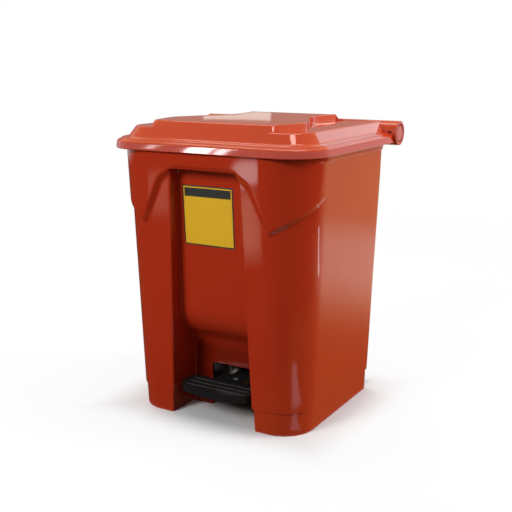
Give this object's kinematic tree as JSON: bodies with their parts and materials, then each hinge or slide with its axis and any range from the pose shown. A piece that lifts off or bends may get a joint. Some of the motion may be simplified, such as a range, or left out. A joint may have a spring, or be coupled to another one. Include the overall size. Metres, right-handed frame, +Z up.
{
  "type": "pedal bin",
  "caption": "Tapered glossy plastic pedal bin with a stepped hinged lid, front foot recess, hooded arch and a ribbed foot pedal that lifts the lid through a rod.",
  "frame": {"origin": "centre of the bounding box on the floor plane", "axes": "+Z up, -Y to the front where the pedal is, +X to the right as seen from the front"},
  "size_m": [0.43, 0.392, 0.5435],
  "materials": {
    "body_red": "glossy moulded plastic, orange red",
    "lid_red": "glossy moulded plastic, orange red",
    "tread_black": "ribbed black plastic",
    "lever_black": "black painted steel",
    "black_plastic": "black moulded plastic",
    "steel": "bright zinc-plated steel",
    "nylon": "natural nylon"
  },
  "bodies": {
    "bin": {"body_shell": "body_red", "axle_bracket_left": "steel", "axle_bracket_right": "steel", "axle_bracket_screws": "steel", "pedal_axle": "steel", "axle_clips": "steel", "rod_guide_upper": "black_plastic", "rod_guide_lower": "black_plastic", "rod_guide_screws": "steel"},
    "lid": {"lid_shell": "lid_red", "hinge_pin_left": "lid_red", "hinge_pin_right": "lid_red", "lid_lifter": "steel", "lid_lifter_screws": "steel"},
    "pedal": {"pedal_tread": "tread_black", "tread_rivets": "steel", "pedal_lever": "lever_black", "lever_bush_left": "nylon", "lever_bush_right": "nylon"},
    "push_rod": {"push_rod": "steel", "rod_lower_pin": "steel", "rod_lower_clips": "steel", "rod_top_pin": "steel", "rod_top_clips": "steel"}
  },
  "joints": [
    {"name": "lid_hinge", "type": "hinge", "parent": "bin", "child": "lid", "pos_m": [0, 0.173, 0.5094], "axis": [-1, 0, 0], "range_deg": [0, 75]},
    {"name": "pedal_hinge", "type": "hinge", "parent": "bin", "child": "pedal", "pos_m": [0, -0.02725, 0.045], "axis": [1, 0, 0], "range_deg": [0, 16.01]},
    {"name": "rod_slide", "type": "slide", "parent": "bin", "child": "push_rod", "axis": [0, 0, 1], "range_m": [0, 0.0476]}
  ],
  "couplings": [
    {"joint": "pedal_hinge", "follows": "lid_hinge", "ratio": 0.21333},
    {"joint": "rod_slide", "follows": "lid_hinge", "m_per_rad": 0.036344}
  ]
}
